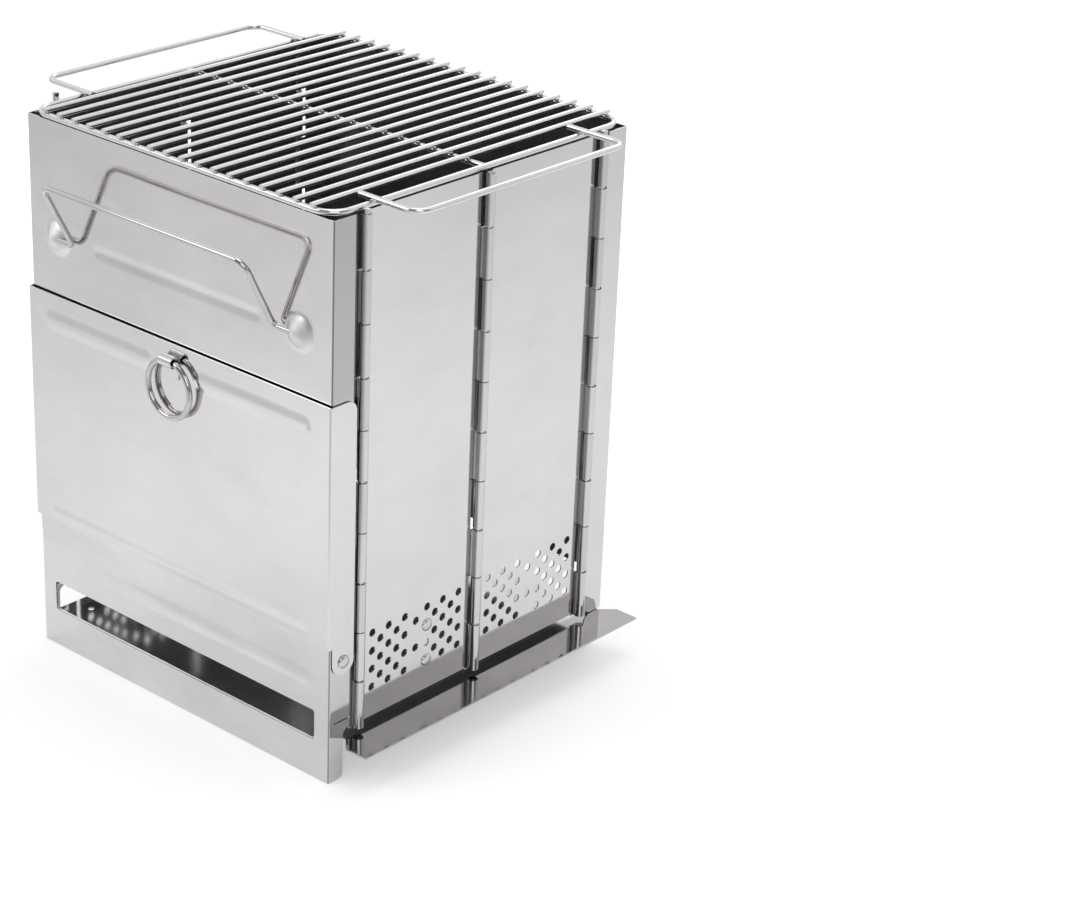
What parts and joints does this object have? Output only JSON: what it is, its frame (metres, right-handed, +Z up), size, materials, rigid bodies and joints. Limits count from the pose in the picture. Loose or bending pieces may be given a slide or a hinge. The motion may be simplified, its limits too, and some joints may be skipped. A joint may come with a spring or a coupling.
{
  "type": "folding camping wood stove",
  "caption": "Upright folding wood stove: hinged sheet walls, swing-down feed door with ring pull, wire carry handle, slide-in base plate and lift-off bar grill.",
  "frame": {"origin": "on the ground, in the middle of the overall outline with the stove open and the grill, plate and carry handle in place", "axes": "+Z up, the door faces -Y, the plate's wing is at +X"},
  "size_m": [0.2752, 0.2406, 0.3061],
  "materials": {
    "polished_sheet": "polished stainless sheet",
    "plate_sheet": "mirror-bright stainless plate",
    "hinge_steel": "rolled stainless hinge",
    "rivet_steel": "pressed rivet",
    "grill_wire": "bright drawn wire",
    "bail_wire": "bright drawn wire"
  },
  "bodies": {
    "frame": {"front_frame": "polished_sheet", "front_hinge_strip_left": "hinge_steel", "front_hinge_strip_right": "hinge_steel", "door_rivets": "rivet_steel", "front_hinge_pin_left": "hinge_steel", "front_hinge_pin_right": "hinge_steel"},
    "door": {"door": "polished_sheet", "ring_clip": "polished_sheet"},
    "ring": {"door_ring": "bail_wire"},
    "bail": {"carry_handle": "bail_wire"},
    "right_front_leaf": {"right_front_leaf": "polished_sheet", "middle_hinge_pin_right": "hinge_steel", "leaf_stay_right": "polished_sheet", "leaf_rivets_right": "rivet_steel"},
    "right_rear_leaf": {"right_rear_leaf": "polished_sheet"},
    "left_front_leaf": {"left_front_leaf": "polished_sheet", "middle_hinge_pin_left": "hinge_steel", "leaf_stay_left": "polished_sheet", "leaf_rivets_left": "rivet_steel"},
    "left_rear_leaf": {"left_rear_leaf": "polished_sheet"},
    "rear_panel": {"rear_panel": "polished_sheet", "rear_hinge_strip_left": "hinge_steel", "rear_hinge_strip_right": "hinge_steel", "rear_hinge_pin_left": "hinge_steel", "rear_hinge_pin_right": "hinge_steel"},
    "base_plate": {"base_plate": "plate_sheet"},
    "grill": {"grill_frame": "grill_wire", "grill_bars": "grill_wire", "grill_cross_bar": "grill_wire", "grill_handle_left": "grill_wire", "grill_handle_right": "grill_wire"}
  },
  "joints": [
    {"name": "right_front_fold", "type": "hinge", "parent": "frame", "child": "right_front_leaf", "pos_m": [0.11015, -0.07619, 0.15], "axis": [0, 0, 1], "range_deg": [0, 87]},
    {"name": "right_rear_fold", "type": "hinge", "parent": "right_front_leaf", "child": "right_rear_leaf", "pos_m": [0.11015, 0.00981, 0.15], "axis": [0, 0, 1], "range_deg": [-174, 0]},
    {"name": "rear_panel_fold", "type": "hinge", "parent": "right_rear_leaf", "child": "rear_panel", "pos_m": [0.11015, 0.09581, 0.15], "axis": [0, 0, 1], "range_deg": [0, 87]},
    {"name": "left_front_fold", "type": "hinge", "parent": "frame", "child": "left_front_leaf", "pos_m": [-0.11015, -0.07619, 0.15], "axis": [0, 0, 1], "range_deg": [-87, 0]},
    {"name": "left_rear_fold", "type": "hinge", "parent": "left_front_leaf", "child": "left_rear_leaf", "pos_m": [-0.11015, 0.00981, 0.15], "axis": [0, 0, 1], "range_deg": [0, 174]},
    {"name": "door_swing", "type": "hinge", "parent": "frame", "child": "door", "pos_m": [0, -0.08759, 0.0675], "axis": [1, 0, 0], "range_deg": [0, 90]},
    {"name": "ring_swing", "type": "hinge", "parent": "door", "child": "ring", "pos_m": [0, -0.10139, 0.1991], "axis": [-1, 0, 0], "range_deg": [0, 85]},
    {"name": "bail_swing", "type": "hinge", "parent": "frame", "child": "bail", "pos_m": [0, -0.09919, 0.239], "axis": [1, 0, 0], "range_deg": [-28, 135]},
    {"name": "plate_slide", "type": "slide", "parent": "frame", "child": "base_plate", "axis": [0, 1, 0], "range_m": [0, 0.22]},
    {"name": "grill_lift", "type": "slide", "parent": "frame", "child": "grill", "axis": [0, 0, 1], "range_m": [0, 0.1]}
  ],
  "couplings": [
    {"joint": "right_rear_fold", "follows": "right_front_fold", "ratio": -2},
    {"joint": "rear_panel_fold", "follows": "right_front_fold", "ratio": 1},
    {"joint": "left_front_fold", "follows": "right_front_fold", "ratio": -1},
    {"joint": "left_rear_fold", "follows": "right_front_fold", "ratio": 2}
  ]
}
